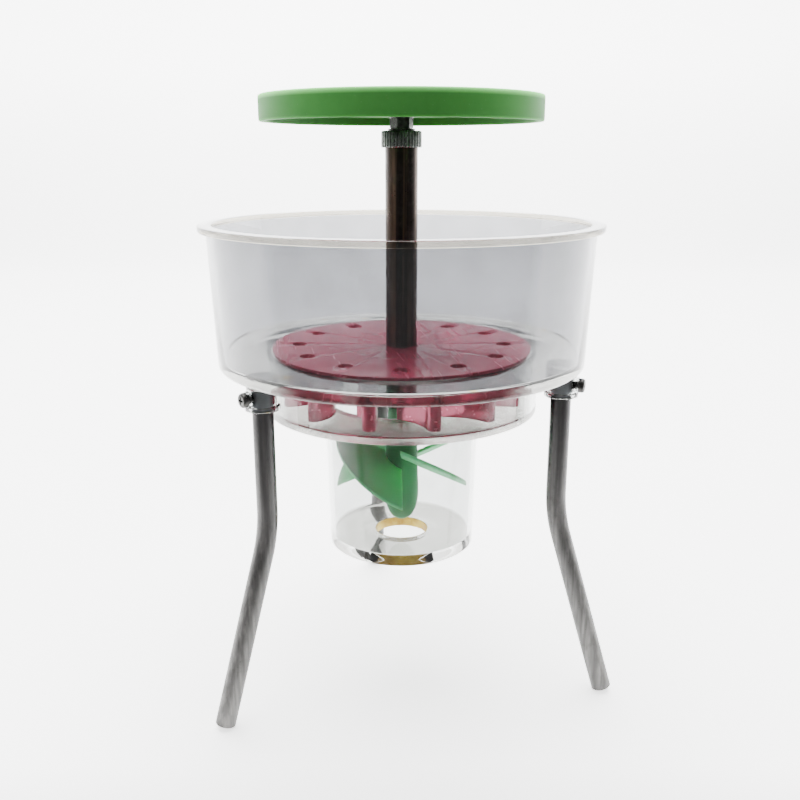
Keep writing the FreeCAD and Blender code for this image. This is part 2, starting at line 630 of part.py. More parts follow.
def check_and_write(pieces):
    """Stops on any failed object or bad solid, then writes one STEP file for each piece."""
    doc.recompute()
    failed = [o.Label for o in doc.Objects if {"Invalid", "Error"} & set(o.State)]
    if failed:
        raise RuntimeError("failed objects: " + ", ".join(failed))
    for piece in pieces:
        shape = piece.Shape
        if shape.isNull() or not shape.isValid() or not shape.Solids:
            raise RuntimeError("bad solid: " + piece.Label)
    os.makedirs("parts", exist_ok=True)
    for piece in pieces:
        piece.Shape.exportStep("parts/%s.step" % piece.Label)
        box = piece.Shape.BoundBox
        print("%-20s %d solid(s) %9.1f mm3  z %.2f to %.2f" % (
            piece.Label, len(piece.Shape.Solids), piece.Shape.Volume, box.ZMin, box.ZMax))


everything = make_tank() + make_chamber() + make_draft_tube() + make_tripod()
everything += make_guide_ring() + make_guide_tube() + make_rotor()
check_and_write(everything)
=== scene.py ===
import math
import bmesh
import bpy
from mathutils import Matrix, Vector


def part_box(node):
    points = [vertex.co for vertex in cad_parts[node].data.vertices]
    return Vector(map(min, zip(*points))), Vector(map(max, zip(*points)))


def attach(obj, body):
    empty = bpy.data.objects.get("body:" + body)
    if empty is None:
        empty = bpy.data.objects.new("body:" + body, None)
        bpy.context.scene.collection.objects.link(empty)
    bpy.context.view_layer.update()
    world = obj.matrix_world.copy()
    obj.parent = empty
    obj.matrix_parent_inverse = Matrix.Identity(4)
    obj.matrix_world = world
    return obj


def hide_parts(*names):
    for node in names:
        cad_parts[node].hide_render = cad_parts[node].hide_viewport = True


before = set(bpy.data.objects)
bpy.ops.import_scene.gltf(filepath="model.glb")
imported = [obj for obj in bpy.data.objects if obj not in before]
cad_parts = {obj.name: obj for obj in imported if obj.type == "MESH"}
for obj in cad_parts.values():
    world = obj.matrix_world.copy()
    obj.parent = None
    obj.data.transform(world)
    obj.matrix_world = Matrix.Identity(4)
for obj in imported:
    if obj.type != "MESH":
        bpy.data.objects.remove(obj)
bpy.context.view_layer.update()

mm = 0.001

# roundings of edges, and sides of turned pieces, that many pieces share
faint, light, small, soft, firm, broad = 0.1 * mm, 0.15 * mm, 0.2 * mm, 0.3 * mm, 0.4 * mm, 0.5 * mm
facets = {"shell": 224, "draft": 192, "disc": 180, "rod": 96, "small": 64, "pad": 48, "knurled": 360}


# radius, foot and top of a node that is turned on the Z axis
def spanOf(node):
    low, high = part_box(node)
    return (high[0] - low[0]) / 2, low[2], high[2]


def footOf(node):
    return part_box(node)[0][2]


def topOf(node):
    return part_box(node)[1][2]


def newPiece(name, mesh, body, stands, finish=None, sharp=32):
    piece = bpy.data.objects.new(name, mesh)
    bpy.context.scene.collection.objects.link(piece)
    if finish:
        mesh.materials.clear()
        mesh.materials.append(finish)
    mesh.polygons.foreach_set("use_smooth", [True] * len(mesh.polygons))
    mesh.set_sharp_from_angle(angle=math.radians(sharp))
    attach(piece, body)
    if stands:
        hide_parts(*stands)
    return piece


# an outline of (radius, height[, rounding]) with its corners rounded
def softCorners(corners, steps=3):
    outline = []
    count = len(corners)
    for i, corner in enumerate(corners):
        here = Vector(corner[:2])
        rounding = corner[2] if len(corner) > 2 else 0
        if not rounding:
            outline.append(here)
            continue
        before = Vector(corners[i - 1][:2]) - here
        after = Vector(corners[(i + 1) % count][:2]) - here
        half = before.angle(after) / 2
        back = min(rounding / math.tan(half), before.length * 0.48, after.length * 0.48)
        start = here + before.normalized() * back
        end = here + after.normalized() * back
        for k in range(steps + 1):
            t = k / steps
            outline.append(start * (1 - t) ** 2 + here * 2 * t * (1 - t) + end * t ** 2)
    return outline


# spins a closed outline round Z; ripple(radius, height, angle) may change the radius
def turnedMesh(name, outline, segments=160, ripple=None):
    bm = bmesh.new()
    rings = []
    for point in outline:
        if point[0] < 1e-7:
            rings.append([bm.verts.new((0, 0, point[1]))])
            continue
        ring = []
        for s in range(segments):
            angle = 2 * math.pi * s / segments
            r = ripple(point[0], point[1], angle) if ripple else point[0]
            ring.append(bm.verts.new((r * math.cos(angle), r * math.sin(angle), point[1])))
        rings.append(ring)
    for i, ring in enumerate(rings):
        after = rings[(i + 1) % len(rings)]
        if len(ring) == 1 and len(after) == 1:
            continue
        for s in range(segments):
            t = (s + 1) % segments
            quad = [ring[s % len(ring)], ring[t % len(ring)], after[t % len(after)], after[s % len(after)]]
            corners = list(dict.fromkeys(quad))
            if len(corners) > 2:
                bm.faces.new(corners)
    bmesh.ops.recalc_face_normals(bm, faces=bm.faces)
    return toMesh(name, bm)


def toMesh(name, bm):
    mesh = bpy.data.meshes.new(name)
    bm.to_mesh(mesh)
    bm.free()
    return mesh


def turnedPiece(name, corners, body, stands, finish, segments=160, ripple=None, steps=3):
    outline = softCorners(corners, steps)
    mesh = turnedMesh(name, outline, segments, ripple)
    return newPiece(name, mesh, body, stands, finish)


# a flat outline stood up between two heights, its rims rounded a little
def prismMesh(name, outline, foot, top, rounding=0.0):
    bm = bmesh.new()
    floor = [bm.verts.new((x, y, foot)) for x, y in outline]
    roof = [bm.verts.new((x, y, top)) for x, y in outline]
    bm.faces.new(floor)
    bm.faces.new(roof)
    for i in range(len(outline)):
        k = (i + 1) % len(outline)
        bm.faces.new((floor[i], floor[k], roof[k], roof[i]))
    bmesh.ops.recalc_face_normals(bm, faces=bm.faces)
    if rounding:
        rims = [e for e in bm.edges if abs(e.verts[0].co.z - e.verts[1].co.z) < 1e-7]
        bmesh.ops.bevel(bm, geom=rims, offset=rounding, segments=2, profile=0.5, affect="EDGES")
    return toMesh(name, bm)


# a rod along a path in the XZ plane, with its ends rounded over
def sweptMesh(name, path, radius, sides=32, rounding=0.4 * mm):
    rings = []
    count = len(path)
    for i, point in enumerate(path):
        ahead = path[min(i + 1, count - 1)] - path[max(i - 1, 0)]
        along = ahead.normalized()
        across = Vector((0, 1, 0))
        up = along.cross(across)
        rings.append((point, across, up, radius, along))
    first, last = rings[0], rings[-1]
    rings[0] = (first[0], first[1], first[2], radius - rounding, first[4])
    rings.insert(1, (first[0] + first[4] * rounding, first[1], first[2], radius, first[4]))
    rings[-1] = (last[0], last[1], last[2], radius - rounding, last[4])
    rings.insert(-1, (last[0] - last[4] * rounding, last[1], last[2], radius, last[4]))
    bm = bmesh.new()
    loops = []
    for point, across, up, wide, _ in rings:
        loop = []
        for s in range(sides):
            angle = 2 * math.pi * s / sides
            loop.append(bm.verts.new(point + (across * math.cos(angle) + up * math.sin(angle)) * wide))
        loops.append(loop)
    for a, b in zip(loops, loops[1:]):
        for s in range(sides):
            t = (s + 1) % sides
            bm.faces.new((a[s], a[t], b[t], b[s]))
    bm.faces.new(loops[0])
    bm.faces.new(loops[-1])
    bmesh.ops.recalc_face_normals(bm, faces=bm.faces)
    return toMesh(name, bm)


# one mesh cut by another, or cropped to it
def booleanMesh(mesh, cutter, operation):
    draft = bpy.data.objects.new("draft", mesh)
    tool = bpy.data.objects.new("tool", cutter)
    for thing in (draft, tool):
        bpy.context.scene.collection.objects.link(thing)
    modifier = draft.modifiers.new("cut", "BOOLEAN")
    modifier.operation = operation
    modifier.object = tool
    ready = draft.evaluated_get(bpy.context.evaluated_depsgraph_get())
    result = bpy.data.meshes.new_from_object(ready)
    draft.modifiers.clear()
    for thing in (draft, tool):
        bpy.data.objects.remove(thing)
    return result


def addSocket(tree, name, kind, value=None, output=False):
    socket = tree.interface.new_socket(name, in_out="OUTPUT" if output else "INPUT", socket_type=kind)
    if value is not None:
        socket.default_value = value
    return socket


# instances of a geometry, one for each step of a full turn about Z
def turnSteps(tree, source, geometry):
    nodes, links = tree.nodes, tree.links
    points = nodes.new("GeometryNodePoints")
    links.new(source.outputs["Count"], points.inputs["Count"])
    index = nodes.new("GeometryNodeInputIndex")
    step = nodes.new("ShaderNodeMath")
    step.operation = "DIVIDE"
    step.inputs[0].default_value = 2 * math.pi
    links.new(source.outputs["Count"], step.inputs[1])
    angle = nodes.new("ShaderNodeMath")
    angle.operation = "MULTIPLY_ADD"
    links.new(index.outputs[0], angle.inputs[0])
    links.new(step.outputs[0], angle.inputs[1])
    links.new(source.outputs["First Angle"], angle.inputs[2])
    turn = nodes.new("ShaderNodeCombineXYZ")
    links.new(angle.outputs[0], turn.inputs["Z"])
    copies = nodes.new("GeometryNodeInstanceOnPoints")
    links.new(points.outputs[0], copies.inputs["Points"])
    links.new(geometry, copies.inputs["Instance"])
    links.new(turn.outputs[0], copies.inputs["Rotation"])
    real = nodes.new("GeometryNodeRealizeInstances")
    links.new(copies.outputs[0], real.inputs[0])
    return real.outputs[0]


def closeTree(tree, source, geometry):
    paint = tree.nodes.new("GeometryNodeSetMaterial")
    tree.links.new(geometry, paint.inputs["Geometry"])
    tree.links.new(source.outputs["Material"], paint.inputs["Material"])
    end = tree.nodes.new("NodeGroupOutput")
    tree.links.new(paint.outputs[0], end.inputs[0])


# copies of the piece round the Z axis
def ringTree():
    tree = bpy.data.node_groups.new("ringOfCopies", "GeometryNodeTree")
    addSocket(tree, "Geometry", "NodeSocketGeometry", output=True)
    addSocket(tree, "Geometry", "NodeSocketGeometry")
    addSocket(tree, "Count", "NodeSocketInt", 3)
    addSocket(tree, "First Angle", "NodeSocketFloat", 0.0)
    addSocket(tree, "Material", "NodeSocketMaterial")
    source = tree.nodes.new("NodeGroupInput")
    closeTree(tree, source, turnSteps(tree, source, source.outputs["Geometry"]))
    return tree


# a disc with a ring of holes drilled through it
def drilledTree():
    tree = bpy.data.node_groups.new("drilledDisc", "GeometryNodeTree")
    addSocket(tree, "Geometry", "NodeSocketGeometry", output=True)
    addSocket(tree, "Geometry", "NodeSocketGeometry")
    addSocket(tree, "Count", "NodeSocketInt", 12)
    addSocket(tree, "First Angle", "NodeSocketFloat", 0.0)
    addSocket(tree, "Hole Circle", "NodeSocketFloat", 0.053)
    addSocket(tree, "Hole Radius", "NodeSocketFloat", 0.004)
    addSocket(tree, "Height", "NodeSocketFloat", 0.17)
    addSocket(tree, "Material", "NodeSocketMaterial")
    nodes, links = tree.nodes, tree.links
    source = nodes.new("NodeGroupInput")
    drill = nodes.new("GeometryNodeMeshCylinder")
    drill.inputs["Vertices"].default_value = 40
    drill.inputs["Depth"].default_value = 0.02
    links.new(source.outputs["Hole Radius"], drill.inputs["Radius"])
    spot = nodes.new("ShaderNodeCombineXYZ")
    links.new(source.outputs["Hole Circle"], spot.inputs["X"])
    links.new(source.outputs["Height"], spot.inputs["Z"])
    moved = nodes.new("GeometryNodeTransform")
    links.new(drill.outputs["Mesh"], moved.inputs["Geometry"])
    links.new(spot.outputs[0], moved.inputs["Translation"])
    drills = turnSteps(tree, source, moved.outputs[0])
    cut = nodes.new("GeometryNodeMeshBoolean")
    cut.operation = "DIFFERENCE"
    links.new(source.outputs["Geometry"], cut.inputs["Mesh 1"])
    links.new(drills, cut.inputs["Mesh 2"])
    real = nodes.new("GeometryNodeRealizeInstances")
    links.new(cut.outputs["Mesh"], real.inputs[0])
    closeTree(tree, source, real.outputs[0])
    return tree


# puts a mesh through a tree and gives back the plain result
def runTree(tree, mesh, values, rims=0.0):
    draft = bpy.data.objects.new("draft", mesh)
    bpy.context.scene.collection.objects.link(draft)
    modifier = draft.modifiers.new("tree", "NODES")
    modifier.node_group = tree
    for item in tree.interface.items_tree:
        if item.in_out == "INPUT" and item.name in values:
            modifier[item.identifier] = values[item.name]
    if rims:
        bevel = draft.modifiers.new("rims", "BEVEL")
        bevel.width = rims
        bevel.segments = 2
        bevel.limit_method = "ANGLE"
        bevel.angle_limit = math.radians(50)
    ready = draft.evaluated_get(bpy.context.evaluated_depsgraph_get())
    result = bpy.data.meshes.new_from_object(ready)
    draft.modifiers.clear()
    bpy.data.objects.remove(draft)
    return result


def ringPiece(name, mesh, count, first, body, stands, finish, rims=0.0):
    values = {"Count": count, "First Angle": first, "Material": finish}
    result = runTree(copiesTree, mesh, values, rims)
    return newPiece(name, result, body, stands, finish)


copiesTree = ringTree()
discTree = drilledTree()
print("trees ready")


def shaderGroup(name, inputs, outputs):
    group = bpy.data.node_groups.new(name, "ShaderNodeTree")
    for label, kind, value in inputs:
        addSocket(group, label, kind, value)
    for label, kind in outputs:
        addSocket(group, label, kind, output=True)
    return group, group.nodes.new("NodeGroupInput"), group.nodes.new("NodeGroupOutput")


def addNode(tree, kind, settings=None, **inputs):
    node = tree.nodes.new(kind)
    for key, value in (settings or {}).items():
        setattr(node, key, value)
    for key, value in inputs.items():
        socket = node.inputs[int(key[1:])] if key[0] == "_" else node.inputs[key.replace("__", " ")]
        if isinstance(value, bpy.types.NodeSocket):
            tree.links.new(value, socket)
        else:
            socket.default_value = value
    return node


# fine scratches, smudges and dust specks, as masks
def wearGroup():
    tree, source, end = shaderGroup("handlingWear", [
        ("Scratch Scale", "NodeSocketFloat", 300.0), ("Smudge Scale", "NodeSocketFloat", 25.0),
        ("Seed", "NodeSocketFloat", 0.0)], [
        ("Scratches", "NodeSocketFloat"), ("Smudges", "NodeSocketFloat"), ("Specks", "NodeSocketFloat")])
    place = addNode(tree, "ShaderNodeTexCoord")
    moved = addNode(tree, "ShaderNodeVectorMath", {"operation": "ADD"}, _0=place.outputs["Object"],
                    _1=source.outputs["Seed"])
    scratchSum = None
    for tilt, stretch in ((0.4, 0.03), (-0.9, 0.05), (1.4, 0.04)):
        lean = addNode(tree, "ShaderNodeMapping", Vector=moved.outputs[0],
                       Rotation=(tilt, tilt * 0.7, tilt * 1.3), Scale=(1.0, stretch, 1.0))
        grain = addNode(tree, "ShaderNodeTexNoise", Vector=lean.outputs[0],
                        Scale=source.outputs["Scratch Scale"], Detail=2.0)
        thin = addNode(tree, "ShaderNodeMapRange", Value=grain.outputs[0])
        thin.inputs["From Min"].default_value = 0.66
        thin.inputs["From Max"].default_value = 0.72
        if scratchSum is None:
            scratchSum = thin.outputs[0]
        else:
            scratchSum = addNode(tree, "ShaderNodeMath", {"operation": "MAXIMUM"},
                                 _0=scratchSum, _1=thin.outputs[0]).outputs[0]
    smudge = addNode(tree, "ShaderNodeTexNoise", Vector=moved.outputs[0],
                     Scale=source.outputs["Smudge Scale"], Detail=5.0, Roughness=0.62)
    smudgeRange = addNode(tree, "ShaderNodeMapRange", Value=smudge.outputs[0])
    smudgeRange.inputs["From Min"].default_value = 0.38
    smudgeRange.inputs["From Max"].default_value = 0.7
    speck = addNode(tree, "ShaderNodeTexVoronoi", Vector=moved.outputs[0], Scale=420.0)
    speckRange = addNode(tree, "ShaderNodeMapRange", Value=speck.outputs["Distance"])
    speckRange.inputs["From Min"].default_value = 0.13
    speckRange.inputs["From Max"].default_value = 0.06
    tree.links.new(scratchSum, end.inputs["Scratches"])
    tree.links.new(smudgeRange.outputs[0], end.inputs["Smudges"])
    tree.links.new(speckRange.outputs[0], end.inputs["Specks"])
    return tree


# streaks that run up and down, as drawn or turned stock has
def streakGroup():
    tree, source, end = shaderGroup("drawnStreaks", [
        ("Across", "NodeSocketFloat", 500.0), ("Along", "NodeSocketFloat", 8.0)],
        [("Streaks", "NodeSocketFloat"), ("Mottle", "NodeSocketFloat")])
    place = addNode(tree, "ShaderNodeTexCoord")
    scale = addNode(tree, "ShaderNodeCombineXYZ", X=source.outputs["Across"],
                    Y=source.outputs["Across"], Z=source.outputs["Along"])
    squeezed = addNode(tree, "ShaderNodeVectorMath", {"operation": "MULTIPLY"},
                       _0=place.outputs["Object"], _1=scale.outputs[0])
    streak = addNode(tree, "ShaderNodeTexNoise", Vector=squeezed.outputs[0], Scale=1.0, Detail=4.0)
    mottle = addNode(tree, "ShaderNodeTexNoise", Vector=place.outputs["Object"], Scale=120.0, Detail=6.0,
                     Roughness=0.7)
    tree.links.new(streak.outputs[0], end.inputs["Streaks"])
    tree.links.new(mottle.outputs[0], end.inputs["Mottle"])
    return tree


wearTree = wearGroup()
streakTree = streakGroup()


# a material with its principled shader, whose constant values are set on its own sockets
def startFinish(name, **plain):
    finish = bpy.data.materials.new(name)
    finish.use_nodes = True
    shader = finish.node_tree.nodes["Principled BSDF"]
    for key, value in plain.items():
        shader.inputs[key.replace("_", " ")].default_value = value
    return finish, finish.node_tree, shader


def wearOn(tree, **values):
    node = tree.nodes.new("ShaderNodeGroup")
    node.node_tree = wearTree
    for key, value in values.items():
        node.inputs[key.replace("_", " ")].default_value = value
    return node


def streaksOn(tree, **values):
    node = tree.nodes.new("ShaderNodeGroup")
    node.node_tree = streakTree
    for key, value in values.items():
        node.inputs[key].default_value = value
    return node


def ramp(tree, value, *stops):
    node = addNode(tree, "ShaderNodeValToRGB", Fac=value)
    band = node.color_ramp
    band.elements[0].position, band.elements[0].color = stops[0][0], (*stops[0][1], 1)
    band.elements[1].position, band.elements[1].color = stops[-1][0], (*stops[-1][1], 1)
    for position, colour in stops[1:-1]:
        band.elements.new(position).color = (*colour, 1)
    return node.outputs["Color"]


def levels(tree, value, low, high, fromLow=0.0, fromHigh=1.0):
    node = addNode(tree, "ShaderNodeMapRange", Value=value)
    for key, number in (("From Min", fromLow), ("From Max", fromHigh), ("To Min", low), ("To Max", high)):
        node.inputs[key].default_value = number
    return node.outputs[0]


def mixed(tree, mask, first, second):
    node = addNode(tree, "ShaderNodeMix", {"data_type": "RGBA"})
    for socket, value in ((node.inputs[0], mask), (node.inputs[6], first), (node.inputs[7], second)):
        if isinstance(value, bpy.types.NodeSocket):
            tree.links.new(value, socket)
        else:
            socket.default_value = (*value, 1) if isinstance(value, tuple) and len(value) == 3 else value
    return node.outputs[2]


def bumped(tree, shader, height, strength, distance):
    bump = addNode(tree, "ShaderNodeBump", Height=height, Strength=strength, Distance=distance)
    tree.links.new(bump.outputs[0], shader.inputs["Normal"])


# greys of one clear acrylic, set piece by piece: darker for the bowl wall and the plates, paler for the cup
# and the sawn edges, which is painted shade; "edge" is the yellowed cut edge, "gloss" and "hazy" the
# roughness range
clearLook = {"wall": ((0.36, 0.365, 0.38), (0.30, 0.305, 0.315)),
             "cup": ((0.71, 0.725, 0.72), (0.62, 0.635, 0.625)),
             "sawn": ((0.62, 0.62, 0.59), (0.54, 0.54, 0.51)),
             "plate": ((0.40, 0.40, 0.38), (0.30, 0.30, 0.28)), "edge": (0.62, 0.55, 0.40),
             "gloss": 0.0, "hazy": 0.035}


# clear acrylic; past the radius edgeFrom its cut edge is yellowed, below plateTop it is a thick plate,
# painted a darker grey as painted shade
def clearFinish(name, shade="cup", bends=1.3, edgeFrom=None, plateTop=None, sawn=0.0, stained=0.0):
    finish, tree, shader = startFinish(name, Transmission_Weight=1.0, IOR=bends)
    wear = wearOn(tree, Scratch_Scale=260.0, Smudge_Scale=22.0)
    colour = mixed(tree, wear.outputs["Smudges"], *clearLook[shade])
    place = addNode(tree, "ShaderNodeTexCoord")
    parts = addNode(tree, "ShaderNodeSeparateXYZ", Vector=place.outputs["Object"])
    if plateTop:
        thick = mixed(tree, wear.outputs["Smudges"], *clearLook["plate"])
        below = levels(tree, parts.outputs["Z"], 1.0, 0.0, plateTop, plateTop + 0.4 * mm)
        colour = mixed(tree, below, colour, thick)
    if edgeFrom:
        square = addNode(tree, "ShaderNodeMath", {"operation": "MULTIPLY"},
                         _0=parts.outputs["X"], _1=parts.outputs["X"])
        radius = addNode(tree, "ShaderNodeMath", {"operation": "MULTIPLY_ADD"},
                         _0=parts.outputs["Y"], _1=parts.outputs["Y"], _2=square.outputs[0])
        away = addNode(tree, "ShaderNodeMath", {"operation": "SQRT"}, _0=radius.outputs[0])
        past = levels(tree, away.outputs[0], 0.0, 1.0, edgeFrom, edgeFrom + 0.6 * mm)
        colour = mixed(tree, past, colour, clearLook["edge"])
    if stained:
        blot = addNode(tree, "ShaderNodeTexNoise", Vector=place.outputs["Object"], Scale=75.0, Detail=3.0)
        spot = levels(tree, blot.outputs[0], 0.0, 1.0, stained, stained + 0.01)
        lying = levels(tree, parts.outputs["Z"], 1.0, 0.0, plateTop, plateTop + 1.0 * mm)
        colour = mixed(tree, lying, colour, mixed(tree, spot, colour, (0.50, 0.30, 0.06)))
    tree.links.new(colour, shader.inputs["Base Color"])
    haze = addNode(tree, "ShaderNodeMath", {"operation": "MAXIMUM"}, _0=wear.outputs["Scratches"],
                   _1=levels(tree, wear.outputs["Smudges"], 0.0, 0.45))
    tree.links.new(levels(tree, haze.outputs[0], clearLook["gloss"], clearLook["hazy"]),
                   shader.inputs["Roughness"])
    if sawn:
        angle = addNode(tree, "ShaderNodeMath", {"operation": "ARCTAN2"},
                        _0=parts.outputs["Y"], _1=parts.outputs["X"])
        teeth = addNode(tree, "ShaderNodeMath", {"operation": "MULTIPLY"}, _0=angle.outputs[0], _1=sawn)
        ticks = addNode(tree, "ShaderNodeTexNoise", {"noise_dimensions": "1D"}, W=teeth.outputs[0],
                        Scale=1.0, Detail=2.0)
        bumped(tree, shader, ticks.outputs[0], 0.35, 0.4 * mm)
    else:
        bumped(tree, shader, wear.outputs["Scratches"], 0.08, 0.1 * mm)
    return finish


# translucent red acrylic
def redFinish(name, clean, rubbed, clearness, satin):
    finish, tree, shader = startFinish(name, Transmission_Weight=clearness, IOR=1.3,
                                       Specular_IOR_Level=0.08)
    wear = wearOn(tree, Scratch_Scale=320.0, Smudge_Scale=30.0, Seed=3.0)
    tree.links.new(mixed(tree, wear.outputs["Smudges"], clean, rubbed), shader.inputs["Base Color"])
    tree.links.new(levels(tree, wear.outputs["Scratches"], satin, satin + 0.2), shader.inputs["Roughness"])
    bumped(tree, shader, wear.outputs["Scratches"], 0.05, 0.06 * mm)
    return finish


# moulded plastic, scuffed and a little dusty, a little translucent; at the heights in rims its colour is
# painted paler, a painted highlight
def plasticFinish(name, colour, worn, gloss, seed, glow=0.08, rims=()):
    finish, tree, shader = startFinish(name, Subsurface_Weight=glow, Subsurface_Scale=0.003,
                                       Specular_IOR_Level=0.12)
    wear = wearOn(tree, Scratch_Scale=280.0, Smudge_Scale=40.0, Seed=seed)
    base = mixed(tree, wear.outputs["Smudges"], colour, worn)
    base = mixed(tree, levels(tree, wear.outputs["Specks"], 0.0, 0.03), base, (0.7, 0.75, 0.7))
    place = addNode(tree, "ShaderNodeTexCoord")
    parts = addNode(tree, "ShaderNodeSeparateXYZ", Vector=place.outputs["Object"])
    # painted highlight: between the heights full and none the colour fades to the pale one
    for full, none, paintedHighlight in rims:
        highlightBand = levels(tree, parts.outputs["Z"], 1.0, 0.0, full, none)
        base = mixed(tree, highlightBand, base, paintedHighlight)
    tree.links.new(base, shader.inputs["Base Color"])
    rough = addNode(tree, "ShaderNodeMath", {"operation": "MULTIPLY_ADD"}, _0=wear.outputs["Smudges"],
                    _1=0.12, _2=gloss)
    tree.links.new(rough.outputs[0], shader.inputs["Roughness"])
    fine = addNode(tree, "ShaderNodeMath", {"operation": "ADD"}, _0=wear.outputs["Scratches"],
                   _1=wear.outputs["Specks"])
    bumped(tree, shader, fine.outputs[0], 0.12, 0.06 * mm)
    return finish


# dull drawn aluminium: fine streaks, small dark pits, and darker towards the top near the tank, which is
# painted shade
def aluminiumFinish():
    finish, tree, shader = startFinish("drawnAluminium", Metallic=1.0)
    streaks = streaksOn(tree, Across=520.0, Along=22.0)
    wear = wearOn(tree, Scratch_Scale=420.0, Smudge_Scale=60.0, Seed=9.0)
    colour = ramp(tree, streaks.outputs["Streaks"], (0.3, (0.075, 0.073, 0.071)),
                  (0.5, (0.105, 0.103, 0.10)), (0.7, (0.155, 0.152, 0.146)))
    colour = mixed(tree, levels(tree, streaks.outputs["Mottle"], 0.0, 0.45, 0.55, 0.75), colour,
                   (0.055, 0.053, 0.051))
    place = addNode(tree, "ShaderNodeTexCoord")
    parts = addNode(tree, "ShaderNodeSeparateXYZ", Vector=place.outputs["Object"])
    # painted shade: the leg darkens from 60 mm up to 150 mm, under the tank
    paintedShadeNearTank = levels(tree, parts.outputs["Z"], 0.0, 0.7, 60 * mm, 150 * mm)
    colour = mixed(tree, paintedShadeNearTank, colour, (0.026, 0.025, 0.027))
    colour = mixed(tree, levels(tree, wear.outputs["Specks"], 0.0, 0.6), colour, (0.05, 0.048, 0.045))
    kept = levels(tree, parts.outputs["Z"], 0.0, 1.0, 158 * mm, 159 * mm)
    colour = mixed(tree, kept, colour, (0.25, 0.26, 0.28))
    tree.links.new(colour, shader.inputs["Base Color"])
    tree.links.new(levels(tree, streaks.outputs["Mottle"], 0.32, 0.5, 0.3, 0.7), shader.inputs["Roughness"])
    bumped(tree, shader, streaks.outputs["Mottle"], 0.25, 0.08 * mm)
    return finish


# brass gone nearly black, with brown streaks where hands have rubbed it
def tarnishedFinish():
    finish, tree, shader = startFinish("tarnishedBrass", Metallic=0.85)
    streaks = streaksOn(tree, Across=260.0, Along=5.0)
    colour = ramp(tree, streaks.outputs["Streaks"], (0.36, (0.012, 0.010, 0.010)),
                  (0.52, (0.028, 0.020, 0.017)), (0.68, (0.10, 0.065, 0.045)))
    patina = levels(tree, streaks.outputs["Mottle"], 0.0, 0.6, 0.5, 0.72)
    tree.links.new(mixed(tree, patina, colour, (0.06, 0.045, 0.04)), shader.inputs["Base Color"])
    tree.links.new(levels(tree, streaks.outputs["Mottle"], 0.25, 0.5, 0.3, 0.7), shader.inputs["Roughness"])
    bumped(tree, shader, streaks.outputs["Streaks"], 0.12, 0.1 * mm)
    return finish


# turned steel with a little grime
def steelFinish(name, dark, bright, seed):
    finish, tree, shader = startFinish(name, Metallic=1.0)
    wear = wearOn(tree, Scratch_Scale=500.0, Smudge_Scale=180.0, Seed=seed)
    tree.links.new(mixed(tree, wear.outputs["Smudges"], bright, dark), shader.inputs["Base Color"])
    tree.links.new(levels(tree, wear.outputs["Smudges"], 0.22, 0.45), shader.inputs["Roughness"])
    bumped(tree, shader, wear.outputs["Scratches"], 0.2, 0.05 * mm)
    return finish


# varnish soaked into the cut edge, glassy amber to brown; it also glows in its own colour, a painted glow
def amberGlowFinish():
    finish, tree, shader = startFinish("amberVarnishGlow", Specular_IOR_Level=0.2, Emission_Strength=0.5)
    wear = wearOn(tree, Scratch_Scale=300.0, Smudge_Scale=90.0, Seed=7.0)
    colour = ramp(tree, wear.outputs["Smudges"], (0.0, (0.80, 0.58, 0.10)), (0.5, (0.55, 0.33, 0.04)),
                  (1.0, (0.15, 0.05, 0.008)))
    tree.links.new(colour, shader.inputs["Base Color"])
    # painted glow: emission in the base colour at strength 0.5 lights the lining, which no lamp reaches
    # through the glass
    tree.links.new(colour, shader.inputs["Emission Color"])
    tree.links.new(levels(tree, wear.outputs["Smudges"], 0.3, 0.5), shader.inputs["Roughness"])
    return finish


clearTank = clearFinish("clearTank", "wall", 1.36, edgeFrom=spanOf("rim_ring")[0] - 1.0 * mm,
                        plateTop=topOf("tank_floor") + 0.1 * mm, stained=0.69)
clearCup = clearFinish("clearDraftTube", "cup", 1.2, plateTop=footOf("draft_tube_wall") + 0.1 * mm)
clearPlain = clearFinish("clearAcrylic")
clearBoss = clearFinish("clearBoss", bends=1.47)
clearSawn = clearFinish("clearSawnEdge", "sawn", 1.4, sawn=140.0)
redDisc = redFinish("redDisc", (0.56, 0.07, 0.15), (0.62, 0.10, 0.18), 0.5, 0.2)
redVane = redFinish("redVane", (0.66, 0.15, 0.24), (0.72, 0.20, 0.29), 0.6, 0.12)
pulleyTop, pulleyFoot = topOf("pulley"), footOf("pulley")
# the pulley's top edge and its foot get pale green bands: painted highlights where its rounded edges catch
# the light
greenPlastic = plasticFinish("greenPlastic", (0.044, 0.205, 0.038), (0.053, 0.235, 0.046), 0.5, 1.0, 0.08, [
    (pulleyTop - 0.4 * mm, pulleyTop - 2.6 * mm, (0.30, 1.0, 0.26)),
    (pulleyFoot + 0.2 * mm, pulleyFoot + 1.1 * mm, (0.07, 0.36, 0.06))])
# the runner's hub and blades are one green plastic: the blades get a paler copy as painted light, the hub a
# darker copy as painted shade
bladePlasticPaintedLit = plasticFinish("bladePlasticPaintedLit", (0.19, 0.80, 0.34), (0.21, 0.84, 0.37), 0.5, 2.0, 0.15)
hubPlasticPaintedShade = plasticFinish("hubPlasticPaintedShade", (0.07, 0.26, 0.115), (0.085, 0.30, 0.135), 0.5, 6.0, 0.1)
aluminium = aluminiumFinish()
tarnished = tarnishedFinish()
darkSteel = steelFinish("knurledSteel", (0.045, 0.05, 0.045), (0.16, 0.175, 0.16), 4.0)
screwSteel = steelFinish("screwSteel", (0.02, 0.02, 0.02), (0.09, 0.088, 0.085), 5.0)
amberGlow = amberGlowFinish()
print("finishes ready")


tank = {"wall": 3.0 * mm, "rimTopRound": 0.7 * mm, "underRimRound": 0.6 * mm, "cornerBead": 1.1 * mm,
        "footRound": 3.2 * mm, "jointGap": 0.03 * mm}


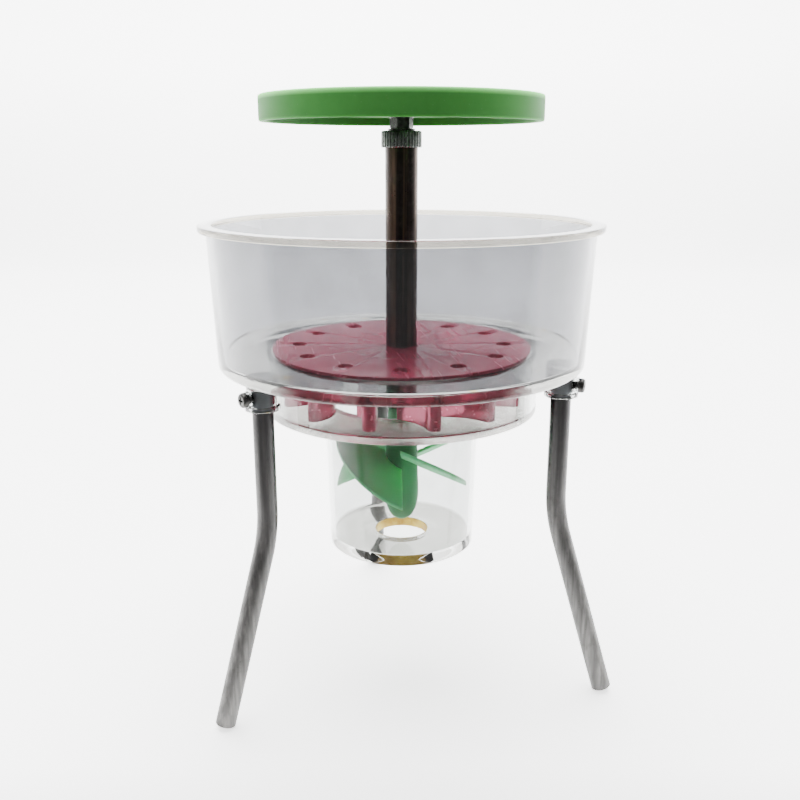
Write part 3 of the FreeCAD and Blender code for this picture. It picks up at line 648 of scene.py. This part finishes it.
def makeTank():
    rimRadius, rimFoot, rimTop = spanOf("rim_ring")
    wallTop = spanOf("tank_wall")[0]
    floorRadius, floorFoot, floorTop = spanOf("tank_floor")
    bore = spanOf("chamber_wall")[0] - chamber["wall"]
    lean = (wallTop - floorRadius) / (rimTop - floorTop)
    underRim = wallTop - lean * (rimTop - rimFoot)
    bead, under = tank["cornerBead"], floorFoot + tank["jointGap"]
    corners = [
        (bore, under, soft), (floorRadius, under, tank["footRound"]), (floorRadius, floorTop, 0),
        (underRim, rimFoot, tank["underRimRound"]), (rimRadius, rimFoot, broad),
        (rimRadius, rimTop, tank["rimTopRound"]), (wallTop - tank["wall"], rimTop, tank["rimTopRound"]),
        (floorRadius - tank["wall"] + lean * bead, floorTop + bead, broad),
        (floorRadius - tank["wall"] - bead, floorTop, broad), (bore, floorTop, soft)]
    turnedPiece("tankBowl", corners, "tank", ["tank_wall", "rim_ring", "tank_floor"], clearTank,
                segments=facets["shell"], steps=4)


chamber = {"wall": 2.8 * mm, "plateRound": 0.35 * mm, "jointGap": 0.05 * mm, "setIn": 0.15 * mm}


def makeChamber():
    radius, plateFoot, plateTop = spanOf("chamber_floor")
    wallTop = topOf("chamber_wall")
    mouth = spanOf("draft_tube_wall")[0] - draft["wall"]
    seam = plateTop - chamber["jointGap"]
    plate = [(mouth, plateFoot, small), (radius, plateFoot, chamber["plateRound"]),
             (radius, seam, chamber["plateRound"]), (mouth, seam, small)]
    turnedPiece("chamberPlate", plate, "tank", ["chamber_floor"], clearSawn, segments=facets["shell"])
    inner, outer = radius - chamber["wall"], radius - chamber["setIn"]
    wall = [(inner, plateTop), (outer, plateTop), (outer, wallTop), (inner, wallTop)]
    turnedPiece("chamberWall", wall, "tank", ["chamber_wall"], clearPlain, segments=facets["shell"])


draft = {"wall": 2.5 * mm, "floorRound": 0.6 * mm, "lining": 0.45 * mm, "fillet": 0.5 * mm,
         "jointGap": 0.04 * mm, "liningGap": 0.02 * mm}


def makeDraftTube():
    topRadius, floorTop, wallTop = spanOf("draft_tube_wall")
    footRadius, foot = spanOf("draft_tube_floor")[:2]
    outlet = spanOf("outlet_lining")[0]
    slope = (topRadius - footRadius) / (wallTop - foot)
    levelRadius = footRadius + slope * (floorTop - foot) - draft["wall"]
    footRadius = topRadius - slope * (wallTop - foot)
    seam, fillet = wallTop - draft["jointGap"], draft["fillet"]
    corners = [
        (outlet, foot, small), (footRadius, foot, draft["floorRound"]), (topRadius, seam, 0),
        (topRadius - draft["wall"], seam, 0), (levelRadius, floorTop + fillet, firm),
        (levelRadius - fillet, floorTop, firm), (outlet, floorTop, soft)]
    turnedPiece("draftTube", corners, "tank", ["draft_tube_wall", "draft_tube_floor"], clearCup,
                segments=facets["draft"])
    inner, outer = outlet - draft["lining"], outlet - draft["liningGap"]
    lining = [(inner, foot, faint), (outer, foot, 0), (outer, floorTop, 0), (inner, floorTop, faint)]
    turnedPiece("outletLining", lining, "tank", ["outlet_lining"], amberGlow, segments=facets["rod"])


makeTank()
makeChamber()
makeDraftTube()
print("clear shells ready")


tripod = {"count": 3, "first": math.radians(-30), "legRadius": 5.0 * mm, "circle": 83.7 * mm,
          "splay": math.radians(17), "bend": 80 * mm, "knee": 96 * mm, "bendSteps": 16,
          "collar": 2.2 * mm, "headRadius": 3.5 * mm, "headHeight": 2.8 * mm, "crossSpan": 3.8 * mm,
          "crossWidth": 0.9 * mm, "crossDepth": 1.3 * mm, "padRadius": 3.9 * mm, "padReach": 8.6 * mm,
          "screwRadius": 2.0 * mm, "screwGap": 0.1 * mm, "padBuried": 0.9 * mm, "headRound": 1.6 * mm,
          "socketGap": 0.05 * mm, "collarStep": 1.0 * mm, "collarSlope": 0.4 * mm, "cover": 1.9 * mm}


# down, round the bend and out to the foot
def legPath():
    top = topOf("leg_right")
    splay, bend, circle = tripod["splay"], tripod["bend"], tripod["circle"]
    reach = bend * math.tan(splay / 2)
    straight = tripod["knee"] + reach
    path = [Vector((circle, 0, top)), Vector((circle, 0, (top + straight) / 2))]
    for k in range(tripod["bendSteps"] + 1):
        turn = splay * k / tripod["bendSteps"]
        path.append(Vector((circle + bend * (1 - math.cos(turn)), 0, straight - bend * math.sin(turn))))
    stride = (tripod["knee"] - tripod["legRadius"] * math.sin(splay)) / math.cos(splay)
    foot = Vector((circle + stride * math.sin(splay), 0, tripod["knee"] - stride * math.cos(splay)))
    path.append((path[-1] + foot) / 2)
    path.append(foot)
    return path


# a clear boss with a stepped collar and the pad that its screw runs through
def makeSocketMesh():
    low, high = footOf("leg_socket_back"), topOf("leg_socket_back")
    radius = (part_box("leg_socket_back")[1][0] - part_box("leg_socket_back")[0][0]) / 2
    bore = tripod["legRadius"] + tripod["socketGap"]
    step, waist = low + tripod["collar"], radius - tripod["collarStep"]
    roof, cover = high - tripod["socketGap"], high - tripod["cover"]
    outline = softCorners([
        (bore, low, small), (radius, low, broad), (radius, step, broad),
        (waist, step + tripod["collarSlope"], soft), (waist, roof, 0),
        (0, roof), (0, cover), (bore, cover, small)])
    boss = turnedMesh("socketBoss", outline, facets["small"])
    boss.transform(Matrix.Translation((tripod["circle"], 0, 0)))
    screwLevel = (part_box("leg_screws")[0][2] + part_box("leg_screws")[1][2]) / 2
    hole, buried = tripod["screwRadius"] + tripod["screwGap"], radius - tripod["padBuried"]
    rim, reach = tripod["padRadius"], tripod["padReach"]
    padOutline = softCorners([(hole, buried), (rim, buried), (rim, reach, broad), (hole, reach, small)])
    pad = turnedMesh("socketPad", padOutline, facets["pad"])
    lay = Matrix.Translation((tripod["circle"], 0, screwLevel)) @ Matrix.Rotation(math.radians(90), 4, "Y")
    pad.transform(lay)
    bm = bmesh.new()
    bm.from_mesh(boss)
    bm.from_mesh(pad)
    return toMesh("legSocket", bm), screwLevel


# a pan head with a cross recess, its shank running in to the leg
def makeScrewMesh(level):
    seat = tripod["circle"] + tripod["padReach"]
    crown = seat + tripod["headHeight"]
    head, shank = tripod["headRadius"], tripod["screwRadius"]
    tip = tripod["circle"] + tripod["legRadius"] + tripod["screwGap"]
    outline = softCorners([
        (0, tip), (shank, tip, soft), (shank, seat), (head, seat, soft),
        (head, crown, tripod["headRound"]), (0, crown)], 5)
    body = turnedMesh("screwBody", outline, facets["small"])
    arm, span = tripod["crossWidth"] / 2, tripod["crossSpan"] / 2
    cross = [(-arm, -span), (arm, -span), (arm, -arm), (span, -arm), (span, arm), (arm, arm),
             (arm, span), (-arm, span), (-arm, arm), (-span, arm), (-span, -arm), (-arm, -arm)]
    cutter = prismMesh("crossCutter", cross, crown - tripod["crossDepth"], crown + 1 * mm)
    mesh = booleanMesh(body, cutter, "DIFFERENCE")
    mesh.transform(Matrix.Translation((0, 0, level)) @ Matrix.Rotation(math.radians(90), 4, "Y"))
    return mesh


def makeTripod():
    rod = sweptMesh("legRod", legPath(), tripod["legRadius"])
    ringPiece("legs", rod, tripod["count"], tripod["first"], "tank",
              ["leg_right", "leg_back", "leg_left"], aluminium)
    socket, level = makeSocketMesh()
    ringPiece("legSockets", socket, tripod["count"], tripod["first"], "tank",
              ["leg_socket_right", "leg_socket_back", "leg_socket_left"], clearBoss)
    ringPiece("legScrews", makeScrewMesh(level), tripod["count"], tripod["first"], "tank",
              ["leg_screws"], screwSteel)


makeTripod()
print("tripod ready")


guide = {"count": 12, "turn": math.radians(-99.5), "holeCircle": 53 * mm, "holeRadius": 4 * mm,
         "hubRadius": 10.6 * mm, "fitGap": 0.05 * mm, "vaneGap": 0.03 * mm, "plate": 2 * mm,
         "edge": 0.4 * mm, "noseCircle": 61.5 * mm, "noseRadius": 3.3 * mm, "tailCircle": 39.5 * mm,
         "tailLag": math.radians(18), "tailSlope": math.radians(54), "tailHalf": 0.4 * mm}


def makeDisc():
    radius, hubFoot, top = spanOf("guide_disc")
    tube = spanOf("guide_tube")[0] + guide["fitGap"]
    under = top - guide["plate"]
    hub = guide["hubRadius"]
    corners = [(tube, hubFoot, small), (hub, hubFoot, broad), (hub, under, broad), (radius, under, soft),
               (radius, top, guide["edge"]), (tube, top, small)]
    blank = turnedMesh("discBlank", softCorners(corners), facets["disc"])
    values = {"Count": guide["count"], "First Angle": guide["turn"], "Hole Circle": guide["holeCircle"],
              "Hole Radius": guide["holeRadius"], "Height": top, "Material": redDisc}
    mesh = runTree(discTree, blank, values, rims=0.25 * mm)
    newPiece("guideDisc", mesh, "insert", ["guide_disc"], redDisc)


def arcPoints(centre, radius, start, end, steps):
    return [(centre[0] + radius * math.cos(start + (end - start) * k / steps),
             centre[1] + radius * math.sin(start + (end - start) * k / steps)) for k in range(steps + 1)]


# round nose outwards, hooked tail inwards
def vaneOutline():
    nose = guide["noseCircle"] - guide["noseRadius"]
    thick, half, slope = guide["noseRadius"], guide["tailHalf"], guide["tailSlope"]
    tailX = guide["tailCircle"] * math.cos(guide["tailLag"])
    tailY = -guide["tailCircle"] * math.sin(guide["tailLag"])
    back = (tailX - half * math.sin(slope), tailY + half * math.cos(slope))
    belly = (tailX + half * math.sin(slope), tailY - half * math.cos(slope))
    outline = arcPoints((nose, 0), thick, -math.pi / 2, math.pi / 2, 16)
    for edge, tip, rising in ((thick, back, False), (-thick, belly, True)):
        run, fall = nose - tip[0], edge - tip[1]
        radius = (run ** 2 + fall ** 2) / (2 * fall)
        sweep = math.asin(run / radius)
        side = arcPoints((nose, edge - radius), radius, math.pi / 2, math.pi / 2 + sweep, 14)
        outline += side[:0:-1] if rising else side[1:]
    return outline


def makeVanes():
    foot, top = footOf("guide_vane_01"), topOf("guide_vane_01")
    vane = prismMesh("vaneDraft", vaneOutline(), foot, top - guide["vaneGap"], light)
    half = math.pi / guide["count"]
    names = ["guide_vane_%02d" % (i + 1) for i in range(guide["count"])]
    ringPiece("guideVanes", vane, guide["count"], guide["turn"] + half, "insert", names, redVane)


makeDisc()
makeVanes()
print("guide ring ready")


column = {"wall": 1.0 * mm, "knurls": 36, "knurlDepth": 0.45 * mm, "knurlFrom": 0.35 * mm,
          "capBore": 4.4 * mm, "capGap": 0.06 * mm, "capChamfer": 0.6 * mm, "capFootChamfer": 0.4 * mm,
          "shaft": 3.05 * mm, "flange": 1.1 * mm, "bushGap": 0.05 * mm}


# coarse straight knurl on the outside only, the same at every height
def knurled(radius, height, angle):
    if radius < knurlFrom:
        return radius
    wave = abs(math.sin(angle * column["knurls"] / 2))
    return radius - column["knurlDepth"] * (1 - wave) ** 1.5


knurlFrom = spanOf("bearing_cap")[0] - column["knurlFrom"]


def makeColumn():
    radius, foot, top = spanOf("guide_tube")
    bore = radius - column["wall"]
    turnedPiece("guideTube", [(bore, foot, light), (radius, foot, soft), (radius, top, soft),
                              (bore, top, light)], "insert", ["guide_tube"], tarnished, facets["rod"])
    capRadius, capFoot, capTop = spanOf("bearing_cap")
    seat, roof = radius + column["capGap"], top + column["capGap"]
    chamfer = column["capChamfer"]
    cap = [(seat, capFoot, small), (capRadius - column["capFootChamfer"], capFoot, faint),
           (capRadius, capFoot + 0.5 * mm, light), (capRadius, capTop - chamfer, light),
           (capRadius - chamfer, capTop, small), (column["capBore"], capTop, small),
           (column["capBore"], roof), (seat, roof)]
    turnedPiece("bearingCap", cap, "insert", ["bearing_cap"], darkSteel, facets["knurled"],
                ripple=knurled)
    shaft = column["shaft"]
    for name, node, finish in (("thrustWasher", "thrust_washer", screwSteel),
                               ("upperBearing", "upper_bearing", tarnished)):
        r, low, high = spanOf(node)
        bush = [(shaft, low, faint), (r, low, faint), (r, high, faint), (shaft, high, faint)]
        turnedPiece(name, bush, "insert", [node], finish, facets["small"])
    r, low, high = spanOf("lower_bearing")
    step, plug = low + column["flange"], bore - column["bushGap"]
    bush = [(shaft, low, faint), (r, low, soft), (r, step, faint), (plug, step), (plug, high, small),
            (shaft, high, faint)]
    turnedPiece("lowerBearing", bush, "insert", ["lower_bearing"], tarnished, facets["small"])


makeColumn()
print("column ready")


rotor = {"shaft": 3.0 * mm, "rim": 3.2 * mm, "web": 3.0 * mm, "boss": 5.8 * mm, "bossDepth": 1.45 * mm,
         "edge": 1.2 * mm, "flats": 10 * mm, "neck": 7.2 * mm, "neckHeight": 9 * mm, "shoulder": 4.5 * mm,
         "nose": 16 * mm, "blades": 4, "bladeTurn": math.radians(35.5 - 90), "bladeReach": 35 * mm,
         "bladeSpan": math.radians(92), "bladePitch": math.radians(31), "bladeThick": 1.6 * mm,
         "bladeSunk": 0.15 * mm, "innerRound": 0.8 * mm, "footStep": 1.2 * mm, "footInset": 0.2 * mm,
         "neckRound": 2 * mm, "ogive": 0.8, "ogiveSteps": 14, "nutChamfer": 0.12, "endGap": 0.02 * mm}


def makePulley():
    radius, foot, top = spanOf("pulley")
    bossFoot = topOf("lower_washer")
    webFoot = bossFoot + rotor["bossDepth"]
    webTop = webFoot + rotor["web"]
    inner, edge, corner = radius - rotor["rim"], rotor["edge"], rotor["innerRound"]
    corners = [
        (rotor["shaft"], bossFoot), (rotor["boss"], bossFoot, soft), (rotor["boss"], webFoot, firm),
        (inner, webFoot, corner), (inner, foot, broad), (radius - rotor["footInset"], foot, edge),
        (radius, foot + rotor["footStep"], firm), (radius, top, edge), (inner, top, edge),
        (inner, webTop, corner), (rotor["shaft"], webTop)]
    turnedPiece("pulley", corners, "rotor", ["pulley"], greenPlastic, facets["shell"],
                steps=4)


def makeNut(name, node):
    low, high = footOf(node), topOf(node)
    corner = rotor["flats"] / 2 / math.cos(math.radians(30))
    hexagon = [(corner * math.cos(math.radians(60 * k)), corner * math.sin(math.radians(60 * k)))
               for k in range(6)]
    blank = prismMesh(name + "Blank", hexagon, low, high)
    bevelled = (high - low) * rotor["nutChamfer"]
    shaft, past, short = rotor["shaft"], corner + 0.05 * mm, corner - 0.5 * mm
    crown = turnedMesh(name + "Crown", softCorners([
        (shaft, low), (short, low), (past, low + bevelled), (past, high - bevelled), (short, high),
        (shaft, high)]), facets["rod"])
    mesh = booleanMesh(blank, crown, "INTERSECT")
    newPiece(name, mesh, "rotor", [node], screwSteel)


# a flat plate tilted across the hub, cut to a sector of the runner's circle
def bladeMesh():
    low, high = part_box("runner_blade_1")[0][2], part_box("runner_blade_1")[1][2]
    level = (low + high) / 2
    inner = spanOf("runner_hub")[0] - rotor["bladeSunk"]
    slope = math.tan(rotor["bladePitch"])
    rise = rotor["bladeThick"] / 2 / math.cos(rotor["bladePitch"])
    across, out = 28, 8
    bm = bmesh.new()
    sheets = []
    for side in (-1, 1):
        rows = []
        for i in range(across + 1):
            angle = rotor["bladeSpan"] * (i / across - 0.5)
            row = []
            for k in range(out + 1):
                r = inner + (rotor["bladeReach"] - inner) * k / out
                y = r * math.sin(angle)
                row.append(bm.verts.new((r * math.cos(angle), y, level - y * slope + side * rise)))
            rows.append(row)
        sheets.append(rows)
        for i in range(across):
            for k in range(out):
                bm.faces.new((rows[i][k], rows[i + 1][k], rows[i + 1][k + 1], rows[i][k + 1]))
    under, over = sheets
    border = [(i, 0) for i in range(across)] + [(across, k) for k in range(out)]
    border += [(across - i, out) for i in range(across)] + [(0, out - k) for k in range(out)]
    for here, there in zip(border, border[1:] + border[:1]):
        bm.faces.new((under[here[0]][here[1]], under[there[0]][there[1]],
                      over[there[0]][there[1]], over[here[0]][here[1]]))
    bmesh.ops.recalc_face_normals(bm, faces=bm.faces)
    return toMesh("bladeDraft", bm)


def makeRunner():
    radius, tip, neckTop = spanOf("runner_hub")
    neckFoot = neckTop - rotor["neckHeight"]
    nose, shaft, bend = rotor["nose"], rotor["shaft"], rotor["neckRound"]
    outline = [Vector((0, tip))]
    for k in range(1, rotor["ogiveSteps"] + 1):  # the nose swells out like an ogive
        t = k / rotor["ogiveSteps"]
        swell = radius * math.sin(t * math.pi / 2) ** rotor["ogive"]
        outline.append(Vector((swell, tip + nose * (1 - math.cos(t * math.pi / 2)))))
    outline += softCorners([(radius, neckFoot - rotor["shoulder"], bend), (rotor["neck"], neckFoot, bend),
                            (rotor["neck"], neckTop, firm), (shaft, neckTop)])
    outline += [Vector((shaft, footOf("shaft"))), Vector((0, footOf("shaft")))]
    mesh = turnedMesh("runnerHub", outline, facets["rod"])
    newPiece("runnerHub", mesh, "rotor", ["runner_hub"], hubPlasticPaintedShade)
    names = ["runner_blade_%d" % (i + 1) for i in range(rotor["blades"])]
    ringPiece("runnerBlades", bladeMesh(), rotor["blades"], rotor["bladeTurn"], "rotor", names,
              bladePlasticPaintedLit, rims=0.3 * mm)


def makeSpindle():
    r, low, high = spanOf("shaft")
    low, bare = low + rotor["endGap"], r - rotor["endGap"]
    turnedPiece("shaftRod", [(0, low), (bare, low), (bare, high, firm), (0, high)], "rotor", ["shaft"],
                screwSteel, facets["small"])
    for name, node in (("lowerWasher", "lower_washer"), ("upperWasher", "upper_washer")):
        outer, foot, top = spanOf(node)
        washer = [(r, foot, faint), (outer, foot, light), (outer, top, light), (r, top, faint)]
        turnedPiece(name, washer, "rotor", [node], screwSteel, facets["small"])
    makeNut("lockNut", "lock_nut")
    makeNut("topNut", "top_nut")


makePulley()
makeRunner()
makeSpindle()
print("rotor ready")


studio = {"sheetWide": 8.0, "sheetHigh": 4.0, "bendFrom": 1.6, "bend": 0.6, "bendSteps": 16,
          "world": 0.35, "backdrop": 4.5, "floorGlow": 2.0, "glowHeight": 0.5,
          "frontDark": -0.26, "frontPale": -0.10, "darkPaper": 0.16, "palePaper": 0.94,
          "turn": math.radians(-9.5), "away": 446.277 * mm, "eye": 273.44 * mm,
          "pitch": math.radians(15.76), "lens": 39.58, "sensor": 36, "shift": -0.0019}
# each lamp: size, power, place and what it faces
lamps = {"overhead": (2.4, 185.0, (0, 0.5, 1.9), (0, 0.2, 0)),
         "sideLight": (0.5, 2.0, (-1.1, -0.5, 0.7), (0, 0, 0.2))}


def addLight(name, size, power, spot, aim):
    lamp = bpy.data.lights.new(name, "AREA")
    lamp.shape = "DISK"
    lamp.size = size
    lamp.energy = power
    holder = bpy.data.objects.new(name, lamp)
    bpy.context.scene.collection.objects.link(holder)
    holder.location = spot
    holder.rotation_euler = (Vector(aim) - Vector(spot)).to_track_quat("-Z", "Y").to_euler()


# floor and backdrop, in one sheet that curves up behind the object
def makeSweep():
    reach, high = studio["sheetWide"], studio["sheetHigh"]
    start, bend, steps = studio["bendFrom"], studio["bend"], studio["bendSteps"]
    profile = [(-high, 0.0)]
    for k in range(steps + 1):
        angle = math.pi / 2 * k / steps
        profile.append((start + bend * math.sin(angle), bend * (1 - math.cos(angle))))
    profile.append((start + bend, high))
    bm = bmesh.new()
    rows = [[bm.verts.new((x, y, z)) for x in (-reach, reach)] for y, z in profile]
    for below, above in zip(rows, rows[1:]):
        bm.faces.new((below[0], below[1], above[1], above[0]))
    mesh = toMesh("paperSweep", bm)
    mesh.transform(Matrix.Rotation(studio["turn"], 4, "Z"))
    mesh.polygons.foreach_set("use_smooth", [True] * len(mesh.polygons))
    sweep = bpy.data.objects.new("paperSweep", mesh)
    bpy.context.scene.collection.objects.link(sweep)
    # graduated paper: pale under and behind the object, deeper in front, which keeps clear walls clear
    paint, tree, shader = startFinish("palePaper", Roughness=0.9, Emission_Strength=1.0)
    place = addNode(tree, "ShaderNodeTexCoord")
    squared = addNode(tree, "ShaderNodeMapping", Vector=place.outputs["Object"],
                      Rotation=(0, 0, -studio["turn"]))
    parts = addNode(tree, "ShaderNodeSeparateXYZ", Vector=squared.outputs[0])
    depth = levels(tree, parts.outputs["Y"], 0.0, 1.0, studio["frontDark"], studio["frontPale"])
    paper = mixed(tree, depth, (studio["darkPaper"],) * 3, (studio["palePaper"],) * 3)
    tree.links.new(paper, shader.inputs["Base Color"])
    rise = levels(tree, parts.outputs["Z"], studio["floorGlow"], studio["backdrop"],
                  0.0, studio["glowHeight"])
    rise = mixed(tree, depth, (0.0, 0.0, 0.0), rise)
    tree.links.new(rise, shader.inputs["Emission Color"])
    mesh.materials.append(paint)


def makeStudio():
    makeSweep()
    world = bpy.data.worlds.new("studio")
    world.use_nodes = True
    world.node_tree.nodes["Background"].inputs["Color"].default_value = (1, 1, 1, 1)
    world.node_tree.nodes["Background"].inputs["Strength"].default_value = studio["world"]
    bpy.context.scene.world = world
    for name in lamps:
        addLight(name, *lamps[name])
    camera = bpy.data.cameras.new("studioCamera")
    camera.lens = studio["lens"]
    camera.sensor_width = studio["sensor"]
    camera.shift_x = studio["shift"]
    holder = bpy.data.objects.new("studioCamera", camera)
    bpy.context.scene.collection.objects.link(holder)
    turn, away = studio["turn"], studio["away"]
    holder.location = (away * math.sin(turn), -away * math.cos(turn), studio["eye"])
    holder.rotation_euler = (math.pi / 2 - studio["pitch"], 0, turn)
    bpy.context.scene.camera = holder


makeStudio()
print("studio ready")
